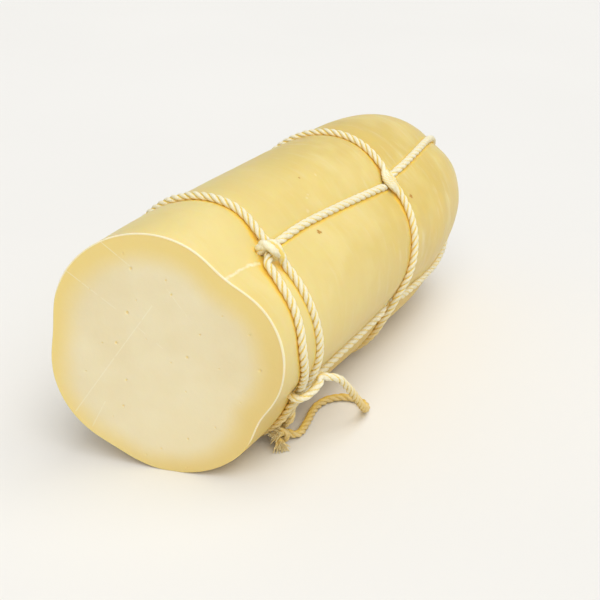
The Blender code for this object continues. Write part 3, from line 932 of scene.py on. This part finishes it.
def sinkEyes(mesh):
    # each hole gets a finer patch of the cut face, which is then pressed in
    layer = mesh.verts.layers.float["pit"]
    paste = [face for face in mesh.faces if face.material_index == 0]
    middles = np.array([face.calc_center_median()[:] for face in paste])
    patches = set()
    for x, z, radius in eyes:
        away = np.hypot(middles[:, 0] - centre[0] - x * mm, middles[:, 2] - centre[2] - z * mm)
        for i in np.nonzero(away < radius * mm + pit["patch"])[0]:
            patches.update(paste[i].edges)
    bmesh.ops.subdivide_edges(mesh, edges=list(patches), cuts=pit["cuts"], use_grid_fill=True)
    verts = [vert for vert in mesh.verts if vert.co.y < faceY(vert.co.x, vert.co.z) + pit["behind"]]
    where = np.array([vert.co[:] for vert in verts])
    for x, z, radius in eyes:
        away = np.hypot(where[:, 0] - centre[0] - x * mm, (where[:, 2] - centre[2] - z * mm) * pit["squash"])
        reach = radius * pit["wider"] * mm
        for i in np.nonzero(away < reach)[0]:
            bowl = float(ease(1 - away[i] / reach))
            verts[i].co.y += pit["depth"] * radius * mm * bowl
            verts[i][layer] = max(verts[i][layer], bowl)


def onFace(x, z):
    # a point of the cut face, from mm across and up from the log's axis
    px, pz = log["axisX"] + x * mm, log["axisZ"] + z * mm
    return (px, faceY(px, pz), pz)


def onRind(angle, s):
    return tuple(placeAt(np.array(radians(angle)), np.array(s * mm), rindRadius(radians(angle), s * mm)))


# Looks of the cheese: most tones go with the share of them that their mark lays on

lip = ((0.94, 0.90, 0.76, 1), 0.55)
pasteLook = {
    # the eye tone is painted shade inside the holes
    "paste": (0.80, 0.69, 0.43, 1), "pale": (0.84, 0.75, 0.50, 1), "eye": ((0.84, 0.66, 0.28, 1), 0.85),
    # the riper band under the rind is broadest towards the top right
    "rim": ((0.83, 0.65, 0.24, 1), 1.0), "rimEnd": 16.5 * mm, "rimWaver": 5 * mm, "broader": 0.07,
    "broadTo": (0.45, 0, 0.9),
    # and painted shade makes the paste darker towards the lower right, most of all at the rim there
    "ripe": ((0.72, 0.54, 0.20, 1), 0.72), "ripeTo": (0.75, 0, -0.66), "ripeSpan": (-36 * mm, 12 * mm),
    # knife marks: from and to in mm across and up, half width in mm, and how broken they are
    "scratch": ((0.90, 0.84, 0.64, 1), 0.55), "lip": lip,
    "scratches": (((-1.6, 28), (-46, -36), 0.40, 0.30), ((-41, 41), (-19, 24), 0.35, 0.36),
                  ((-19, 24), (4, 4), 0.3, 0.5), ((-23, 58), (-10, 47), 0.35, 0.42),
                  ((-30, -28), (-39, -45), 0.35, 0.40), ((6, 38), (15, 24), 0.28, 0.5)),
}
rindLook = {
    # the rear tone is painted shade: darker and more saturated towards the rear
    "rind": (0.77, 0.628, 0.238, 1), "rear": (0.685, 0.515, 0.145, 1), "rearSpan": (-115 * mm, 45 * mm),
    "mottle": ((0.83, 0.71, 0.32, 1), 0.45), "paler": ((0.83, 0.71, 0.32, 1), 0.4),
    "golden": ((0.76, 0.55, 0.12, 1), 0.55), "darker": ((0.76, 0.55, 0.12, 1), 0.35),
    # the groove tone is painted golden shade beside the strings
    "fibre": ((0.80, 0.71, 0.45, 1), 0.5), "groove": ((1.0, 0.64, 0.08, 1), 0.9), "lip": lip,
    # the under tone is painted shade: darker golden low down on the rind
    "under": ((0.66, 0.44, 0.09, 1), 0.85), "underSpan": (75.5 * mm, 10 * mm),
    # streaks are strongest towards the rear
    "strongSpan": (-90 * mm, 70 * mm), "leastStrong": 0.3,
    # flecks and pale scuffs: angle in degrees, s and radius in mm
    "fleck": ((0.50, 0.25, 0.03, 1), 1.0),
    "flecks": ((42.8, 83.7, 1.6), (43.4, 84.6, 1.2), (55.8, 177.6, 1.7), (29.0, 43.3, 0.9),
               (15.8, 102.8, 0.7)),
    "scuff": ((0.92, 0.86, 0.66, 1), 0.2),
    "scuffs": ((18.7, 114.9, 1.2), (31.1, 88.9, 1.5), (25.8, 95.0, 1.1), (24.5, 97.5, 0.9)),
    # the rind's seam: from and to, each an angle and s
    "seam": ((0.92, 0.86, 0.66, 1), 0.7), "seamHalf": 1.0 * mm, "seamWaver": 2.4 * mm,
    "seams": (((35.9, 3), (36.4, 14)), ((36.4, 14), (37.2, 26)), ((37.4, 25.5), (38.8, 32))),
}


def makePasteMaterial():
    look = pasteLook
    made, tree, shader = newMaterial(
        "cutPaste", Roughness=0.5, Specular_IOR_Level=0.35, Subsurface_Weight=0.25,
        Subsurface_Radius=(1.0, 0.75, 0.35), Subsurface_Scale=0.003)
    where = objectPlace(tree)
    grain = placeGroup(tree, "grain", Position=where, Coarse=26.0, Fine=420.0)
    colour = mixColour(tree, grain["Mottle"], look["paste"], look["pale"])
    toRim = maths(tree, "MULTIPLY_ADD", noise(tree, where, 34.0, 2.0), look["rimWaver"],
                  attribute(tree, "toRim"))
    toRim = maths(tree, "MULTIPLY_ADD", vectorMaths(tree, "DOT_PRODUCT", where, look["broadTo"]),
                  -look["broader"], toRim)
    rim = rampUp(tree, toRim, 0.0, look["rimEnd"], 1.0, 0.0)
    ripe = rampUp(tree, vectorMaths(tree, "DOT_PRODUCT", where, look["ripeTo"]), *look["ripeSpan"])
    marks = [(rim, "rim"), (times(tree, ripe, maths(tree, "MULTIPLY_ADD", rim, 0.75, 0.25)), "ripe")]
    marks += [(placeGroup(tree, "line", Position=where, From=onFace(*start), To=onFace(*end),
                          Half_Width=half * mm, Waver=0.25 * mm, Breaks=breaks)["Mask"], "scratch")
              for start, end, half, breaks in look["scratches"]]
    marks += [(rampUp(tree, attribute(tree, "pit"), 0.1, 0.6), "eye"),
              (rampUp(tree, attribute(tree, "lip"), 0.3, 0.75), "lip")]
    layTones(tree, shader, colour, look, marks)
    bumpInto(tree, shader, grain["Relief"], 0.3 * mm)
    return made


def makeRindMaterial():
    look = rindLook
    made, tree, shader = newMaterial(
        "waxyRind", Specular_IOR_Level=0.4, Coat_Weight=0.06, Coat_Roughness=0.35, Subsurface_Weight=0.6,
        Subsurface_Radius=(1.0, 0.6, 0.15), Subsurface_Scale=0.005)
    where = objectPlace(tree)
    centred = vectorMaths(tree, "SUBTRACT", where, centre * (1, 0, 1))
    parts = addNode(tree, "SeparateXYZ", {"Vector": centred}).outputs
    along = parts["Y"]
    around = times(tree, maths(tree, "ARCTAN2", parts["X"], parts["Z"]), log["meanRadius"])
    grain = placeGroup(tree, "grain", Position=where, Coarse=22.0, Fine=350.0)
    # painted shade towards the rear
    colour = mixColour(tree, rampUp(tree, along, *look["rearSpan"]), look["rind"], look["rear"])
    # stretched curd: fibres that run round the log
    wander = maths(tree, "MULTIPLY_ADD", noise(tree, where, 30.0, 2.0), 9 * mm, along)
    laid = addNode(tree, "CombineXYZ", {"X": times(tree, wander, 210.0), "Y": times(tree, around, 38.0)})
    laid = laid.outputs[0]
    fibres = noise(tree, laid, 1.0, 4.0, 0.62)
    broad = noise(tree, vectorMaths(tree, "MULTIPLY", laid, (0.16, 0.5, 1.0)), 1.0, 3.0, 0.6)
    strong = rampUp(tree, along, *look["strongSpan"], look["leastStrong"], 1.0)
    marks = [(rampUp(tree, grain["Mottle"], 0.2, 1.0), "mottle"),
             (times(tree, rampUp(tree, broad, 0.45, 0.7), strong), "golden"),
             (times(tree, rampUp(tree, broad, 0.48, 0.28), strong), "paler"),
             (times(tree, rampUp(tree, fibres, 0.5, 0.8), strong), "fibre"),
             (rampUp(tree, height(tree, where), *look["underSpan"]), "under"),
             (times(tree, rampUp(tree, fibres, 0.46, 0.3), strong), "darker"),
             (attribute(tree, "groove"), "groove")]
    placed = [(name, "spot", {"Centre": onRind(angle, s), "Radius": radius * mm})
              for name in ("scuff", "fleck") for angle, s, radius in look[name + "s"]]
    placed += [("seam", "line", {"From": onRind(*start), "To": onRind(*end), "Half_Width": look["seamHalf"],
                                 "Waver": look["seamWaver"], "Breaks": 0.35})
               for start, end in look["seams"]]
    marks += [(placeGroup(tree, group, Position=where, **values)["Mask"], name)
              for name, group, values in placed]
    marks.append((rampUp(tree, attribute(tree, "lip"), 0.3, 0.75), "lip"))
    layTones(tree, shader, colour, look, marks)
    tree.links.new(rampUp(tree, grain["Mottle"], 0.0, 1.0, 0.36, 0.5), shader.inputs["Roughness"])
    bumpInto(tree, shader, maths(tree, "MULTIPLY_ADD", fibres, 0.4, grain["Relief"]), 0.22 * mm)
    return made


def makeCheese():
    places, toRim, along, faceRows = logGrid()
    normals = gridNormals(places)
    waved = gentleWaves(places) * ease(along / (20 * mm)) * ease(places[..., 2] / (12 * mm))
    places, groove = pressStrings(places + normals * waved[..., None], normals, faceRows)
    keepAbove(places)
    places[:, -1] = places[:, 0]
    edge = np.where(np.arange(len(places))[:, None] < faceRows, toRim, along - cutS(ring)[None])
    lip = bell(edge / cheese["lipReach"]) * lipShare[None]
    mesh = newMesh("toRim", "groove", "lip", "pit")
    wrapGrid(mesh, places, toRim=toRim, groove=groove, lip=lip)
    uv = mesh.loops.layers.uv.active
    for face in mesh.faces:
        row = min(loop[uv].uv.y for loop in face.loops) * (len(places) - 1)
        face.material_index = 0 if row < faceRows - 1.5 else 1
    closeUp(mesh)
    sinkEyes(mesh)
    return finishPiece(mesh, "provoloneLog", "rind", [makePasteMaterial(), makeRindMaterial()], "cheese")


makeCheese()
print("cheese made")

# Studio

studio = {"floor": (0.826, 0.818, 0.790, 1), "floorShade": 0.985, "floorSize": 6, "below": 0.1 * mm,
          "world": (0.98, 0.985, 1.0, 1), "worldStrength": 0.46}
suns = {
    "keyLight": {"from": (0.42, -0.50, 0.76), "strength": 1.7, "spread": 50, "tint": (1.0, 0.985, 0.96)},
    "topLight": {"from": (0.3, 0.15, 0.95), "strength": 0.9, "spread": 45, "tint": (1.0, 0.99, 0.98)},
}


def makeStudio():
    mesh = bmesh.new()
    bmesh.ops.create_grid(mesh, x_segments=1, y_segments=1, size=studio["floorSize"])
    floor = meshObject("studioFloor", mesh)
    floor.location.z = -studio["below"]
    made, tree, shader = newMaterial("paleFloor", Roughness=0.75, Specular_IOR_Level=0.2)
    soft = rampUp(tree, noise(tree, objectPlace(tree), 3.0, 2.0), 0.3, 0.7)
    shaded = tuple(studio["floorShade"] * part for part in studio["floor"][:3]) + (1,)
    paper = mixColour(tree, soft, studio["floor"], shaded)
    tree.links.new(paper, shader.inputs["Base Color"])
    floor.data.materials.append(made)
    for name, look in suns.items():
        lamp = bpy.data.lights.new(name, "SUN")
        lamp.energy, lamp.angle, lamp.color = look["strength"], radians(look["spread"]), look["tint"]
        heading = Vector(look["from"]).to_track_quat("Z", "Y")
        newObject(name, lamp).rotation_euler = heading.to_euler()
    world = bpy.data.worlds.new("studioWorld")
    world.use_nodes = True
    back = world.node_tree.nodes["Background"]
    back.inputs["Color"].default_value = studio["world"]
    back.inputs["Strength"].default_value = studio["worldStrength"]
    bpy.context.scene.world = world
    bpy.context.scene.view_settings.view_transform = "Standard"


makeStudio()
print("studio lit")
